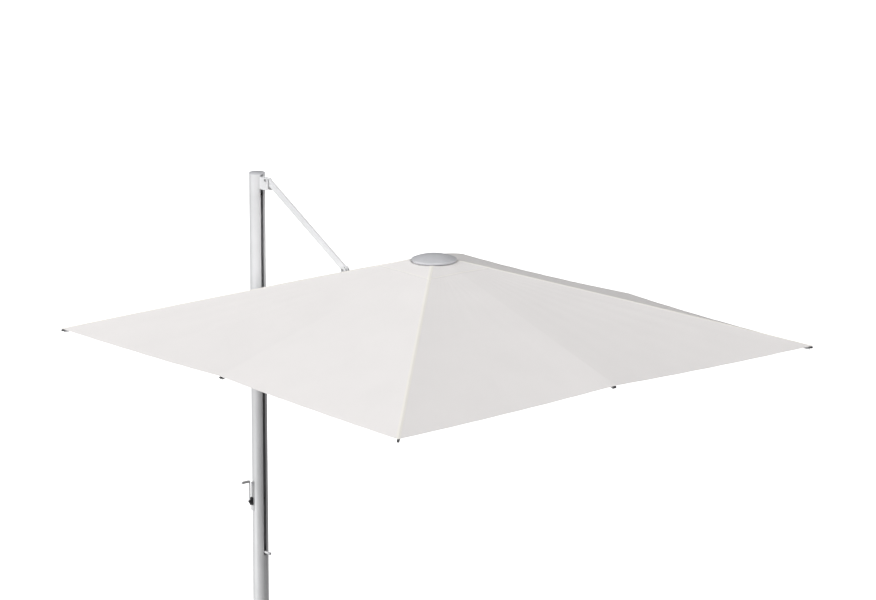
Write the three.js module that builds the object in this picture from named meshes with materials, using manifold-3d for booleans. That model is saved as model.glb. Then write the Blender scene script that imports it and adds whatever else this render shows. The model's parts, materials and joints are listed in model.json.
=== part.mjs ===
// Cantilever parasol with a side mast, a top strut, a sliding boom and a square folding canopy.
// Units are millimetres, +Z is up. The origin is on the ground on the mast's axis, and +X runs
// along the boom towards the middle of the canopy.
import * as THREE from 'three';
import { mergeVertices } from 'three/addons/utils/BufferGeometryUtils.js';
import Module from 'manifold-3d';

const wasm = await Module();
wasm.setup();

// Canopy: a square with four corner ribs and four middle ribs.
const CANOPY_HALF = 1500;
const CANOPY_CENTRE_X = 1629;
const CORNER_TIP_Z = 2350;
const MIDDLE_TIP_Z = 2375;
const APEX_Z = 2824;
const FABRIC = 2;
const PANEL_GAP = 0.2;
const CROWN_RADIUS = 135;
const DISC_RADIUS = 128.5;
const DISC_EDGE = 13;
const DISC_DOME = 26;
const SLIT_HALF = 24;
const SLIT_INNER_RADIUS = 700;
const PANEL_SPLIT = CANOPY_HALF / 2;

// Mast and the fittings on it.
const MAST_RADIUS = 47.5;
const MAST_WALL = 3;
const MAST_BOTTOM = 62;
const MAST_TOP = 3035;
const CAP_THICKNESS = 6;
const SLOT_HALF = 10;
const STRIP_HALF = 9.4;
const LOCK_Z = 697;
const LOCK_RADIUS = 8;
const LOCK_END_X = 97;
const COVER_BOTTOM = 345;
const COVER_TOP = 679;
const BRACKET_LOW = 61;
const BRACKET_HIGH = 11;
const BRACKET_REACH = 18;
const BRACKET_HALF_WIDTH = 19;
const BRACKET_GAP = 12.2;

// Four-bar points in the XZ plane: strut top, strut foot, boom heel and hub pivot.
const STRUT_TOP = [105, 3010];
const STRUT_FOOT = [832, 2597];
const BOOM_HEEL = [105, 2184];
const HUB_PIVOT = [CANOPY_CENTRE_X, 2660];

// Strut and boom sections.
const STRUT_DEPTH = 42;
const STRUT_HALF_WIDTH = 6;
const STRUT_BOSS_RADIUS = 9;
const STRUT_BOSS_HALF_WIDTH = 11;
const BOOM_HEIGHT = 80;
const BOOM_WIDTH = 60;
const BOOM_WALL = 3;
const BOOM_START = 52;
const FORK_REACH = 260;
const FORK_THICKNESS = 6;

// Hub, ribs, stretchers and runner.
const HUB_BOTTOM = 2618;
const PIVOT_RADIUS = 100;
const PIVOT_Z = 2750;
const RIB_DEPTH = 22;
const RIB_HALF_WIDTH = 6;
const RIB_BELOW_FABRIC = 4;
const RIB_START_RADIUS = 142;
const RIB_TIP_SETBACK = 9;
const TWIN_OFFSET = 57;
const MIDDLE_ARM = 360;
const MIDDLE_CLOSED = THREE.MathUtils.degToRad(86);
const CORNER_CLOSED = THREE.MathUtils.degToRad(85);
const POST_RADIUS = 20;
const POST_BOTTOM = 1935;
const PLATE_TOP = 2782;
const FABRIC_SEAT = PLATE_TOP + 0.5;
const DISC_SEAT = FABRIC_SEAT + FABRIC + 2;

// Winch and its endless rope.
const WINCH_X = -10;
const WINCH_Z = 1018;
const PULLEY_Z = 2900;
const ROPE_CIRCLE = 19;
const ROPE_RADIUS = 1.75;
const SHAFT_RADIUS = 4;
const DRUM_RADIUS = 23;
const WINCH_PLATE_HALF_WIDTH = 13;
const WINCH_PLATE_BELOW = 60;
const WINCH_PLATE_ABOVE = 118;
const WINCH_PLATE_Y = [-53, -48];
const HOUSING_HALF_WIDTH = 11;
const HOUSING_HALF_HEIGHT = 25;
const HOUSING_Y = [-67.4, -53.4];
const CRANK_LENGTH = 126;
const CRANK_ARM_Y = [-75.4, -68.4];
const CRANK_BLADE_HALF_WIDTH = 3.5;
const GRIP_Y = [-127, -76];
const GRIP_RADIUS = 8.5;
const GRIP_AXLE_RADIUS = 3;

// Base: a steel cross with four weight plates and a socket.
const CROSS_REACH = 520;
const CROSS_HALF_WIDTH = 30;
const CROSS_HEIGHT = 40;
const RAIL_OFFSET = 300;
const RAIL_HALF_WIDTH = 20;
const RAIL_HEIGHT = 10;
const PLATE_SIZE = 470;
const PLATE_THICKNESS = 24;
const SOCKET_RADIUS = 57;
const SOCKET_TOP = 335;

const PLAY = 0.4;

const material = (color, roughness, metalness) =>
  new THREE.MeshStandardMaterial({ color, roughness, metalness });
const ANODISED = material(0xdfe0e3, 0.38, 0.7);
const BRIGHT = material(0xc9cacc, 0.3, 0.9);
const GREY_CAP = material(0xb9b9bd, 0.5, 0.3);
const DARK_PLASTIC = material(0x3a3a3e, 0.55, 0);
const LIGHT_PLASTIC = material(0xe9e9ea, 0.5, 0);
const CLOTH = material(0xf0ede9, 0.9, 0);
const ROPE = material(0x8c8f92, 0.5, 0.6);
const COATED = material(0x55585c, 0.6, 0.2);
const CAST = material(0x6d6f72, 0.75, 0.1);

// ---------- solid helpers ----------

function toManifold(geometry) {
  const bare = geometry.clone();
  bare.deleteAttribute('normal');
  bare.deleteAttribute('uv');
  const merged = mergeVertices(bare, 1e-4);
  return new wasm.Manifold(new wasm.Mesh({
    numProp: 3,
    vertProperties: new Float32Array(merged.attributes.position.array),
    triVerts: new Uint32Array(merged.index.array),
  }));
}

function toGeometry(manifold) {
  const mesh = manifold.getMesh();
  const geometry = new THREE.BufferGeometry();
  geometry.setAttribute('position', new THREE.BufferAttribute(mesh.vertProperties, 3));
  geometry.setIndex(new THREE.BufferAttribute(mesh.triVerts, 1));
  geometry.computeVertexNormals();
  return geometry;
}

function join(...geometries) {
  return toGeometry(geometries.map(toManifold).reduce((sum, next) => sum.add(next)));
}

function cut(geometry, ...tools) {
  return toGeometry(tools.map(toManifold).reduce((rest, tool) => rest.subtract(tool), toManifold(geometry)));
}

function block([x0, x1], [y0, y1], [z0, z1]) {
  const geometry = new THREE.BoxGeometry(x1 - x0, y1 - y0, z1 - z0);
  return geometry.translate((x0 + x1) / 2, (y0 + y1) / 2, (z0 + z1) / 2);
}

// A round bar along Y at [x, z].
function pinY(radius, [y0, y1], [x, z], sides = 14) {
  const geometry = new THREE.CylinderGeometry(radius, radius, y1 - y0, sides);
  return geometry.translate(x, (y0 + y1) / 2, z);
}

// A round bar along X at [y, z].
function pinX(radius, [x0, x1], [y, z], sides = 16) {
  const geometry = new THREE.CylinderGeometry(radius, radius, x1 - x0, sides);
  return geometry.rotateZ(Math.PI / 2).translate((x0 + x1) / 2, y, z);
}

// A round bar along Z at [x, y].
function pinZ(radius, [z0, z1], [x, y], sides = 16) {
  const geometry = new THREE.CylinderGeometry(radius, radius, z1 - z0, sides);
  return geometry.rotateX(Math.PI / 2).translate(x, y, (z0 + z1) / 2);
}

// An outline of [x, z] points given clockwise or not, made as thick as [y0, y1] says.
function plateY(outline, [y0, y1]) {
  const shape = new THREE.Shape(outline.map(([x, z]) => new THREE.Vector2(x, z)));
  const geometry = new THREE.ExtrudeGeometry(shape, { depth: y1 - y0, bevelEnabled: false });
  return geometry.rotateX(Math.PI / 2).translate(0, y1, 0);
}

// A straight bar in the XZ plane from one [x, z] point to another.
function barY(from, to, depth, yRange) {
  const [dx, dz] = [to[0] - from[0], to[1] - from[1]];
  const length = Math.hypot(dx, dz);
  const [sx, sz] = [(-dz / length) * depth / 2, (dx / length) * depth / 2];
  return plateY([
    [from[0] - sx, from[1] - sz],
    [to[0] - sx, to[1] - sz],
    [to[0] + sx, to[1] + sz],
    [from[0] + sx, from[1] + sz],
  ], yRange);
}

// A solid of revolution about Z from [radius, z] points.
function turned(profile, sides = 32) {
  const points = profile.map(([r, z]) => new THREE.Vector2(r, z));
  return new THREE.LatheGeometry(points, sides).rotateX(Math.PI / 2);
}

// A solid of revolution about the Y direction through [x, z] from [radius, y] points.
function turnedY(profile, [x, z], sides = 20) {
  const points = profile.map(([r, y]) => new THREE.Vector2(r, y));
  return new THREE.LatheGeometry(points, sides).translate(x, 0, z);
}

// A pin along Y with a head at each end, outside a fitting of the given half width.
function headedPin(radius, halfSpan, headRadius, headLength, centre) {
  const inner = halfSpan + PLAY;
  const outer = inner + headLength;
  return turnedY([
    [0, -outer], [headRadius, -outer], [headRadius, -inner], [radius, -inner],
    [radius, inner], [headRadius, inner], [headRadius, outer], [0, outer],
  ], centre, 16);
}

function mesh(name, geometry, look, parent) {
  const node = new THREE.Mesh(geometry, look);
  node.name = name;
  parent.add(node);
  return node;
}

const group = new THREE.Group();

// ---------- base ----------

function crossFrame() {
  const h = CROSS_HALF_WIDTH;
  const arms = join(
    block([-CROSS_REACH, CROSS_REACH], [-h, h], [0, CROSS_HEIGHT]),
    block([-h, h], [-CROSS_REACH, CROSS_REACH], [0, CROSS_HEIGHT]),
  );
  const rails = [-RAIL_OFFSET, RAIL_OFFSET].map((y) => (
    block([-CROSS_REACH, CROSS_REACH], [y - RAIL_HALF_WIDTH, y + RAIL_HALF_WIDTH], [0, RAIL_HEIGHT])
  ));
  return join(arms, ...rails);
}

function weightPlate() {
  const shape = new THREE.Shape();
  const size = PLATE_SIZE;
  const round = 25;
  shape.moveTo(round, 0);
  shape.lineTo(size - round, 0);
  shape.absarc(size - round, round, round, -Math.PI / 2, 0);
  shape.lineTo(size, size - round);
  shape.absarc(size - round, size - round, round, 0, Math.PI / 2);
  shape.lineTo(round, size);
  shape.absarc(round, size - round, round, Math.PI / 2, Math.PI);
  shape.lineTo(0, round);
  shape.absarc(round, round, round, Math.PI, Math.PI * 1.5);
  const plate = new THREE.ExtrudeGeometry(shape, { depth: PLATE_THICKNESS, bevelEnabled: false, curveSegments: 5 });
  const clear = SOCKET_RADIUS + 32;
  return cut(plate, pinZ(clear, [-5, 60], [-CROSS_HALF_WIDTH - 1, -CROSS_HALF_WIDTH - 1], 32));
}

function buildBase() {
  mesh('base_cross', crossFrame(), COATED, group);
  for (let i = 0; i < 4; i += 1) {
    const turn = new THREE.Group();
    turn.rotation.z = (i * Math.PI) / 2;
    group.add(turn);
    const plate = mesh(`weight_plate_${i + 1}`, weightPlate(), CAST, turn);
    plate.position.set(CROSS_HALF_WIDTH + 1, CROSS_HALF_WIDTH + 1, RAIL_HEIGHT + PLAY);
  }
  const inner = MAST_RADIUS + 1;
  const flange = SOCKET_RADIUS + 28;
  mesh('base_socket', turned([
    [0, CROSS_HEIGHT + PLAY], [flange, CROSS_HEIGHT + PLAY], [flange, CROSS_HEIGHT + 8],
    [SOCKET_RADIUS, CROSS_HEIGHT + 8], [SOCKET_RADIUS, SOCKET_TOP], [inner, SOCKET_TOP],
    [inner, CROSS_HEIGHT + 16], [0, CROSS_HEIGHT + 16],
  ]), COATED, group);
  mesh('swivel_bearing', turned([
    [20, CROSS_HEIGHT + 16.3], [MAST_RADIUS - 3, CROSS_HEIGHT + 16.3],
    [MAST_RADIUS - 3, MAST_BOTTOM - 0.3], [20, MAST_BOTTOM - 0.3], [20, CROSS_HEIGHT + 16.3],
  ]), DARK_PLASTIC, group);
}

// ---------- mast ----------

function slottedTube() {
  const inner = MAST_RADIUS - MAST_WALL;
  const outerAngle = Math.asin(SLOT_HALF / MAST_RADIUS);
  const innerAngle = Math.asin(SLOT_HALF / inner);
  const shape = new THREE.Shape();
  shape.absarc(0, 0, MAST_RADIUS, outerAngle, 2 * Math.PI - outerAngle, false);
  shape.absarc(0, 0, inner, 2 * Math.PI - innerAngle, innerAngle, true);
  const tube = new THREE.ExtrudeGeometry(shape, {
    depth: MAST_TOP - MAST_BOTTOM, bevelEnabled: false, curveSegments: 36,
  });
  tube.translate(0, 0, MAST_BOTTOM);
  return cut(tube, pinY(8, [-60, -30], [WINCH_X, WINCH_Z]));
}

function topBracket() {
  const [x, z] = STRUT_TOP;
  const [low, high] = [z - BRACKET_LOW, z + BRACKET_HIGH];
  const nose = x + BRACKET_REACH;
  const round = 9;
  const cheekSpan = [BRACKET_GAP, BRACKET_HALF_WIDTH];
  const cheek = [
    [48, low], [nose, low], [nose, high - round], [nose - round, high], [48, high],
  ];
  const body = join(
    block([-16, 52], [-STRIP_HALF, STRIP_HALF], [low, high]),
    block([48, 56], [-BRACKET_HALF_WIDTH, BRACKET_HALF_WIDTH], [low, high]),
    plateY(cheek, cheekSpan),
    plateY(cheek, [-BRACKET_HALF_WIDTH, -BRACKET_GAP]),
  );
  return cut(body, pinY(5.6, [-30, 30], STRUT_TOP));
}

function mastCap() {
  const top = MAST_TOP + CAP_THICKNESS;
  const seat = MAST_TOP + 0.3;
  const plug = MAST_RADIUS - MAST_WALL - 0.6;
  return turned([
    [0, MAST_TOP - 7], [plug, MAST_TOP - 7], [plug, seat], [MAST_RADIUS, seat],
    [MAST_RADIUS, top - 1.5], [MAST_RADIUS - 1.5, top], [0, top],
  ], 36);
}

function lockPin() {
  const capStart = LOCK_END_X - 9;
  return join(
    pinX(LOCK_RADIUS, [-30, capStart + 1], [0, LOCK_Z], 24),
    pinX(LOCK_RADIUS + 0.7, [capStart, LOCK_END_X], [0, LOCK_Z], 24),
  );
}

// The pulley turns with its axle, whose ends run in the mast's wall.
function pulley() {
  const rim = 24;
  const groove = ROPE_CIRCLE - ROPE_RADIUS - 0.4;
  return turnedY([
    [0, -41], [4, -41], [4, -7], [rim, -7], [rim, -4], [groove, -2.4], [groove, 2.4],
    [rim, 4], [rim, 7], [4, 7], [4, 41], [0, 41],
  ], [WINCH_X, PULLEY_Z]);
}

function buildMast() {
  mesh('mast', slottedTube(), ANODISED, group);
  mesh('mast_cap', mastCap(), GREY_CAP, group);
  mesh('slot_cover', block([42, 45.6], [-STRIP_HALF, STRIP_HALF], [COVER_BOTTOM, COVER_TOP]), LIGHT_PLASTIC, group);
  mesh('top_bracket', topBracket(), ANODISED, group);
  mesh('strut_top_pin', headedPin(5, BRACKET_HALF_WIDTH, 8.5, 4, STRUT_TOP), BRIGHT, group);
  mesh('lock_pin', lockPin(), BRIGHT, group);
  mesh('top_pulley', pulley(), DARK_PLASTIC, group);
}

// ---------- winch and rope ----------

// Half a turn of rope about the Y direction, as a tube of eight sides.
function ropeBend(centreZ, direction) {
  const section = new THREE.Shape();
  section.absarc(0, 0, ROPE_RADIUS, 0, Math.PI * 2);
  const points = [];
  for (let i = 0; i <= 12; i += 1) {
    const angle = (Math.PI * i) / 12;
    points.push(new THREE.Vector3(
      WINCH_X - ROPE_CIRCLE * Math.cos(angle), 0, centreZ + direction * ROPE_CIRCLE * Math.sin(angle),
    ));
  }
  const path = new THREE.CatmullRomCurve3(points);
  return new THREE.ExtrudeGeometry(section, { steps: 14, curveSegments: 4, bevelEnabled: false, extrudePath: path });
}

function ropeLoop() {
  const ends = [WINCH_Z - 0.5, PULLEY_Z + 0.5];
  return join(
    pinZ(ROPE_RADIUS, ends, [WINCH_X - ROPE_CIRCLE, 0], 8),
    pinZ(ROPE_RADIUS, ends, [WINCH_X + ROPE_CIRCLE, 0], 8),
    ropeBend(PULLEY_Z, 1),
    ropeBend(WINCH_Z, -1),
  );
}

function drumAndShaft() {
  const groove = ROPE_CIRCLE - ROPE_RADIUS - 0.4;
  const outerEnd = CRANK_ARM_Y[0] - 1;
  return turnedY([
    [0, outerEnd], [SHAFT_RADIUS, outerEnd], [SHAFT_RADIUS, -9], [DRUM_RADIUS, -9], [DRUM_RADIUS, -5],
    [groove, -3], [groove, 3], [DRUM_RADIUS, 5], [DRUM_RADIUS, 9], [SHAFT_RADIUS, 9], [SHAFT_RADIUS, 40], [0, 40],
  ], [WINCH_X, WINCH_Z]);
}

function winchPlate() {
  const width = [WINCH_X - WINCH_PLATE_HALF_WIDTH, WINCH_X + WINCH_PLATE_HALF_WIDTH];
  const height = [WINCH_Z - WINCH_PLATE_BELOW, WINCH_Z + WINCH_PLATE_ABOVE];
  return cut(block(width, WINCH_PLATE_Y, height), pinY(SHAFT_RADIUS + 1.5, [-60, -40], [WINCH_X, WINCH_Z]));
}

// A tall box with round ends that covers the gear.
function winchHousing() {
  const half = HOUSING_HALF_HEIGHT - HOUSING_HALF_WIDTH;
  const body = join(
    block([WINCH_X - HOUSING_HALF_WIDTH, WINCH_X + HOUSING_HALF_WIDTH], HOUSING_Y, [WINCH_Z - half, WINCH_Z + half]),
    pinY(HOUSING_HALF_WIDTH, HOUSING_Y, [WINCH_X, WINCH_Z - half], 24),
    pinY(HOUSING_HALF_WIDTH, HOUSING_Y, [WINCH_X, WINCH_Z + half], 24),
  );
  return cut(body, pinY(SHAFT_RADIUS + 1.2, [-80, -40], [WINCH_X, WINCH_Z]));
}

// The arm with the axle that its grip turns on, and the axle's end button.
function crankArm() {
  const tip = WINCH_Z + CRANK_LENGTH;
  const [outer, inner] = CRANK_ARM_Y;
  const buttonStart = GRIP_Y[0] - 0.5;
  const body = join(
    pinY(SHAFT_RADIUS + 4, CRANK_ARM_Y, [WINCH_X, WINCH_Z], 20),
    block([WINCH_X - CRANK_BLADE_HALF_WIDTH, WINCH_X + CRANK_BLADE_HALF_WIDTH], CRANK_ARM_Y, [WINCH_Z, tip + 5]),
    pinY(GRIP_AXLE_RADIUS, [buttonStart - 1, inner - 2], [WINCH_X, tip]),
    pinY(GRIP_AXLE_RADIUS + 2.5, [buttonStart - 4, buttonStart], [WINCH_X, tip]),
  );
  return cut(body, pinY(SHAFT_RADIUS + 0.5, [outer - 5, inner + 5], [WINCH_X, WINCH_Z]));
}

function crankGrip() {
  const [outer, inner] = GRIP_Y;
  const bore = GRIP_AXLE_RADIUS + 0.6;
  return turnedY([
    [bore, outer], [GRIP_RADIUS - 2, outer], [GRIP_RADIUS, outer + 5], [GRIP_RADIUS - 1, outer + 26],
    [GRIP_RADIUS, inner - 6], [GRIP_RADIUS - 2, inner],
    [bore, inner], [bore, outer],
  ], [WINCH_X, WINCH_Z + CRANK_LENGTH], 24);
}

function buildWinch() {
  mesh('hoist_rope', ropeLoop(), ROPE, group);
  mesh('winch_drum', drumAndShaft(), BRIGHT, group);
  mesh('winch_plate', winchPlate(), ANODISED, group);
  mesh('winch_housing', winchHousing(), DARK_PLASTIC, group);
  mesh('crank_arm', crankArm(), ANODISED, group);
  mesh('crank_grip', crankGrip(), LIGHT_PLASTIC, group);
}

// ---------- strut, carriage and boom ----------

// A flat bar with round ends and a boss on each side at each pin. Its top end is cut level with the bracket.
function strut() {
  const thick = [-STRUT_HALF_WIDTH, STRUT_HALF_WIDTH];
  const boss = [-STRUT_BOSS_HALF_WIDTH, STRUT_BOSS_HALF_WIDTH];
  const top = STRUT_TOP[1] + BRACKET_HIGH + 1;
  const bar = cut(
    join(
      barY(STRUT_TOP, STRUT_FOOT, STRUT_DEPTH, thick),
      pinY(STRUT_DEPTH / 2, thick, STRUT_TOP, 24),
      pinY(STRUT_DEPTH / 2, thick, STRUT_FOOT, 24),
    ),
    block([STRUT_TOP[0] - STRUT_DEPTH, STRUT_TOP[0] + STRUT_DEPTH], [-20, 20], [top, top + STRUT_DEPTH]),
  );
  const body = join(bar, pinY(STRUT_BOSS_RADIUS, boss, STRUT_TOP, 20), pinY(STRUT_BOSS_RADIUS, boss, STRUT_FOOT, 20));
  return cut(body, pinY(5.8, [-20, 20], STRUT_TOP), pinY(5.8, [-20, 20], STRUT_FOOT));
}

const ROLLER_RADIUS = 12;
const ROLLER_OFFSET = 52;
const rollerCentre = (side) => [27, BOOM_HEEL[1] + side * ROLLER_OFFSET];

function carriage() {
  const [x, z] = BOOM_HEEL;
  const cheek = [[50, z - 20], [x, z - 20], [x + 18, z], [x, z + 20], [50, z + 20]];
  const body = join(
    block([-22, 37], [-20, 20], [z - 34, z + 34]),
    block([-22, 37], [-23.5, -18.5], [z - 66, z + 66]),
    block([-22, 37], [18.5, 23.5], [z - 66, z + 66]),
    block([30, 54], [-8.8, 8.8], [z - 30, z + 30]),
    block([50, 57], [-19, 19], [z - 20, z + 20]),
    plateY(cheek, [-19, -13]),
    plateY(cheek, [13, 19]),
  );
  const strand = WINCH_X + ROPE_CIRCLE;
  return cut(
    body,
    pinY(6.8, [-30, 30], BOOM_HEEL),
    block([strand - 4, strand + 4], [-4, 4], [z - 70, z + 70]),
    pinY(4.8, [-30, 30], rollerCentre(1)),
    pinY(4.8, [-30, 30], rollerCentre(-1)),
  );
}

function roller(side) {
  return turnedY([
    [0, -23], [4, -23], [4, -17.8], [ROLLER_RADIUS, -17.8], [ROLLER_RADIUS, 17.8],
    [4, 17.8], [4, 23], [0, 23],
  ], rollerCentre(side), 16);
}

const BOOM_SLOPE = Math.atan2(HUB_PIVOT[1] - BOOM_HEEL[1], HUB_PIVOT[0] - BOOM_HEEL[0]);
const BOOM_LENGTH = Math.hypot(HUB_PIVOT[1] - BOOM_HEEL[1], HUB_PIVOT[0] - BOOM_HEEL[0]);
const BOOM_END = BOOM_LENGTH - FORK_REACH;

// A point of the XZ plane in the boom's own frame: along the boom, and square to it.
function inBoom([x, z]) {
  const [dx, dz] = [x - BOOM_HEEL[0], z - BOOM_HEEL[1]];
  return [
    dx * Math.cos(BOOM_SLOPE) + dz * Math.sin(BOOM_SLOPE),
    dz * Math.cos(BOOM_SLOPE) - dx * Math.sin(BOOM_SLOPE),
  ];
}

function boomTube() {
  const [h, w] = [BOOM_HEIGHT / 2, BOOM_WIDTH / 2];
  return cut(
    block([BOOM_START, BOOM_END], [-w, w], [-h, h]),
    block([0, BOOM_LENGTH], [BOOM_WALL - w, w - BOOM_WALL], [BOOM_WALL - h, h - BOOM_WALL]),
  );
}

function boomHeel() {
  const inside = [BOOM_WALL + PLAY - BOOM_WIDTH / 2, BOOM_WIDTH / 2 - BOOM_WALL - PLAY];
  const tall = BOOM_HEIGHT / 2 - BOOM_WALL - PLAY;
  const body = join(
    pinY(16, [-12, 12], [0, 0], 20),
    block([0, 60], [-12, 12], [-16, 16]),
    block([BOOM_START - 8, BOOM_START - PLAY], [-BOOM_WIDTH / 2, BOOM_WIDTH / 2], [-BOOM_HEIGHT / 2, BOOM_HEIGHT / 2]),
    block([BOOM_START - 4, BOOM_START + 60], inside, [-tall, tall]),
  );
  return cut(body, pinY(6.8, [-20, 20], [0, 0]));
}

function strutLug() {
  const [along, above] = inBoom(STRUT_FOOT);
  const seat = BOOM_HEIGHT / 2 + 0.3;
  const cheek = [
    [along - 62, seat], [along + 62, seat], [along + 62, seat + 10],
    [along + 17, above + 4], [along + 8, above + 17], [along - 8, above + 17],
    [along - 17, above + 4], [along - 62, seat + 10],
  ];
  const body = join(
    block([along - 62, along + 62], [-26, 26], [seat, seat + 6]),
    plateY(cheek, [-18.2, -12]),
    plateY(cheek, [12, 18.2]),
  );
  return cut(body, pinY(5.8, [-30, 30], [along, above]));
}

function boomFork() {
  const inside = [BOOM_WALL + PLAY - BOOM_WIDTH / 2, BOOM_WIDTH / 2 - BOOM_WALL - PLAY];
  const tall = BOOM_HEIGHT / 2 - BOOM_WALL - PLAY;
  const near = BOOM_WIDTH / 2 + PLAY;
  const far = near + FORK_THICKNESS;
  const seat = BOOM_END + PLAY;
  const cheeks = [[near, far], [-far, -near]].flatMap((yRange) => [
    block([seat, BOOM_LENGTH], yRange, [-34, 34]),
    pinY(34, yRange, [BOOM_LENGTH, 0], 24),
  ]);
  const body = join(
    block([BOOM_END - 60, seat + 4], inside, [-tall, tall]),
    block([seat, seat + 10], [-far, far], [-34, 34]),
    ...cheeks,
  );
  return cut(body, pinY(8.6, [-50, 50], [BOOM_LENGTH, 0]));
}

function buildBoom() {
  mesh('strut', strut(), ANODISED, group);
  mesh('strut_foot_pin', headedPin(5, 18.2, 8.5, 4, STRUT_FOOT), BRIGHT, group);
  mesh('carriage', carriage(), DARK_PLASTIC, group);
  mesh('carriage_pin', headedPin(6, 19, 9, 3, BOOM_HEEL), BRIGHT, group);
  mesh('roller_upper', roller(1), LIGHT_PLASTIC, group);
  mesh('roller_lower', roller(-1), LIGHT_PLASTIC, group);
  const arm = new THREE.Group();
  arm.position.set(BOOM_HEEL[0], 0, BOOM_HEEL[1]);
  arm.rotation.y = -BOOM_SLOPE;
  group.add(arm);
  mesh('boom', boomTube(), ANODISED, arm);
  mesh('boom_heel', boomHeel(), CAST, arm);
  mesh('strut_lug', strutLug(), ANODISED, arm);
  mesh('boom_fork', boomFork(), CAST, arm);
  const halfSpan = BOOM_WIDTH / 2 + PLAY + FORK_THICKNESS;
  mesh('hub_pin', headedPin(7.7, halfSpan, 11, 3.5, [BOOM_LENGTH, 0]), BRIGHT, arm);
}

// ---------- canopy frame ----------

// Height of the top of the fabric at a place given from the canopy's centre.
const MIDDLE_FALL = (APEX_Z - MIDDLE_TIP_Z) / CANOPY_HALF;
const CORNER_FALL = (MIDDLE_TIP_Z - CORNER_TIP_Z) / CANOPY_HALF;
function fabricHeight(x, y) {
  const [far, near] = [Math.max(Math.abs(x), Math.abs(y)), Math.min(Math.abs(x), Math.abs(y))];
  return APEX_Z - MIDDLE_FALL * far - CORNER_FALL * near;
}

// A rib's facts: where its fabric line ends, its slope, and its arm from the hub pivot to the stretcher.
const CORNER_REACH = CANOPY_HALF * Math.SQRT2;
const middleSlope = Math.atan2(APEX_Z - MIDDLE_TIP_Z, CANOPY_HALF);
const cornerSlope = Math.atan2(APEX_Z - CORNER_TIP_Z, CORNER_REACH);
const travel = MIDDLE_ARM * (Math.sin(MIDDLE_CLOSED) - Math.sin(middleSlope));
const CORNER_ARM = travel / (Math.sin(CORNER_CLOSED) - Math.sin(cornerSlope));
const MIDDLE_RIB = { reach: CANOPY_HALF, slope: middleSlope, arm: MIDDLE_ARM };
const CORNER_RIB = { reach: CORNER_REACH, slope: cornerSlope, arm: CORNER_ARM };

const jointOf = (rib) => [
  PIVOT_RADIUS + rib.arm * Math.cos(rib.slope),
  PIVOT_Z - rib.arm * Math.sin(rib.slope),
];
const runnerPivotOf = (rib) => [PIVOT_RADIUS, PIVOT_Z - 2 * rib.arm * Math.sin(rib.slope)];
const RUNNER_BOTTOM = runnerPivotOf(MIDDLE_RIB)[1] - 52;
const RUNNER_TOP = RUNNER_BOTTOM + 92;

// A point at a distance below the fabric line, square to it, at a radius along it.
function underFabric(rib, radius, below) {
  const height = APEX_Z - radius * Math.tan(rib.slope);
  return [radius - below * Math.sin(rib.slope), height - below * Math.cos(rib.slope)];
}

// The bar of a rib with the arms that carry it on its hub pivot and that hold its stretcher.
function ribBar(rib, yRange) {
  const middle = RIB_BELOW_FABRIC + RIB_DEPTH / 2;
  const start = underFabric(rib, RIB_START_RADIUS, middle);
  const tip = underFabric(rib, rib.reach - RIB_TIP_SETBACK, middle);
  const pivot = [PIVOT_RADIUS, PIVOT_Z];
  const shoulder = underFabric(rib, RIB_START_RADIUS + 50, middle + 4);
  return join(
    barY(start, tip, RIB_DEPTH, yRange),
    barY(pivot, shoulder, 16, yRange),
    pinY(12, yRange, pivot),
  );
}

function stretcherLug(rib, yRange) {
  const joint = jointOf(rib);
  const bottom = underFabric(rib, joint[0] + 14, RIB_BELOW_FABRIC + RIB_DEPTH - 4);
  return join(
    barY([joint[0], joint[1]], bottom, 18, yRange),
    pinY(9, yRange, joint),
  );
}

function singleRib(rib) {
  const joint = jointOf(rib);
  const h = RIB_HALF_WIDTH;
  const body = join(
    ribBar(rib, [-h, h]),
    stretcherLug(rib, [4.6, 9]),
    stretcherLug(rib, [-9, -4.6]),
    pinY(3.2, [-7, 7], joint, 10),
  );
  return cut(body, pinY(4.8, [-20, 20], [PIVOT_RADIUS, PIVOT_Z]));
}

// The two mast-side ribs stand either side of the boom on one hub bar.
function twinRib() {
  const [near, far] = [TWIN_OFFSET - RIB_HALF_WIDTH, TWIN_OFFSET + RIB_HALF_WIDTH];
  const joint = jointOf(MIDDLE_RIB);
  const sides = [1, -1].flatMap((side) => {
    const span = side > 0 ? [near, far] : [-far, -near];
    const outer = side > 0 ? [TWIN_OFFSET + 4.6, TWIN_OFFSET + 9] : [-TWIN_OFFSET - 9, -TWIN_OFFSET - 4.6];
    const pin = side > 0 ? [TWIN_OFFSET - 5, TWIN_OFFSET + 7] : [-TWIN_OFFSET - 7, 5 - TWIN_OFFSET];
    return [ribBar(MIDDLE_RIB, span), stretcherLug(MIDDLE_RIB, outer), pinY(3.2, pin, joint, 10)];
  });
  return join(...sides, pinY(5.5, [-near - 2, near + 2], [PIVOT_RADIUS, PIVOT_Z]));
}

const STRETCHER_DEPTH = 14;
const HOLE_AT_RIB = 4;

function stretcherBar(rib, yRange, runnerHole) {
  const [joint, foot] = [jointOf(rib), runnerPivotOf(rib)];
  const footRadius = Math.max(8, runnerHole + 3.5);
  const body = join(
    barY(joint, foot, STRETCHER_DEPTH, yRange),
    pinY(8, yRange, joint),
    pinY(footRadius, yRange, foot),
  );
  const holes = [pinY(HOLE_AT_RIB, [-80, 80], joint)];
  if (runnerHole > 0) holes.push(pinY(runnerHole, [-80, 80], foot));
  return cut(body, ...holes);
}

function twinStretcher() {
  const foot = runnerPivotOf(MIDDLE_RIB);
  const near = TWIN_OFFSET - 4;
  const far = TWIN_OFFSET + 4;
  return join(
    stretcherBar(MIDDLE_RIB, [near, far], 0),
    stretcherBar(MIDDLE_RIB, [-far, -near], 0),
    pinY(4.5, [-near - 2, near + 2], foot),
  );
}

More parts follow.
